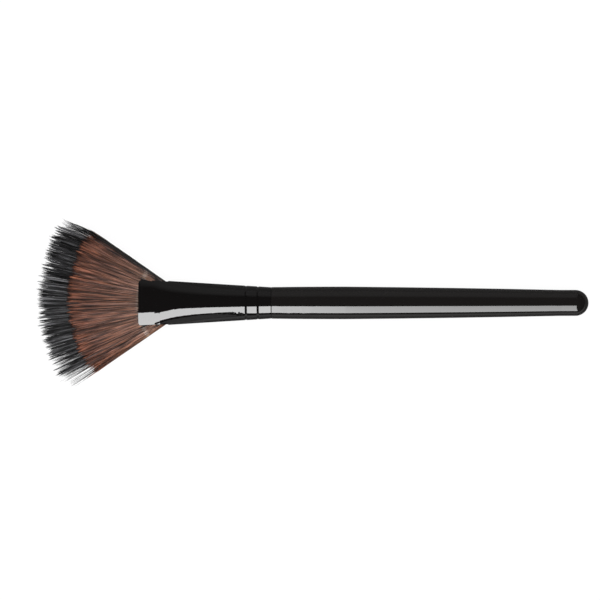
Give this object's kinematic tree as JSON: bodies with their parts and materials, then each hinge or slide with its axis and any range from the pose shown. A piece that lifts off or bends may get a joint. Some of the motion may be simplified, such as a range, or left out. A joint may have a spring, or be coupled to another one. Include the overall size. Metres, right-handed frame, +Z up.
{
  "type": "fan makeup brush",
  "caption": "Fan makeup brush: a gloss black turned handle, a flattened black ferrule and a wide thin fan of brown hair with longer black tips, for sweeping powder on or off.",
  "frame": {"origin": "middle of the outline on the surface that the brush lies on", "axes": "+X along the handle towards the tail, the hair towards -X; the fan lies flat in the XY plane; +Z up"},
  "size_m": [0.185, 0.0574, 0.0109],
  "materials": {
    "handle_lacquer": "turned hardwood under smooth gloss black lacquer",
    "ferrule_metal": "drawn tube, pressed flat, coated gloss black",
    "glue": "cured clear amber epoxy, hidden inside the ferrule",
    "black_hair": "fine straight tapered black fibre, slight sheen",
    "brown_hair": "soft straight brown hair with darker strands, slight sheen"
  },
  "bodies": {
    "root": {"handle": "handle_lacquer", "ferrule": "ferrule_metal", "glue_plug": "glue", "long_hair": "black_hair", "short_hair": "brown_hair"}
  },
  "joints": []
}
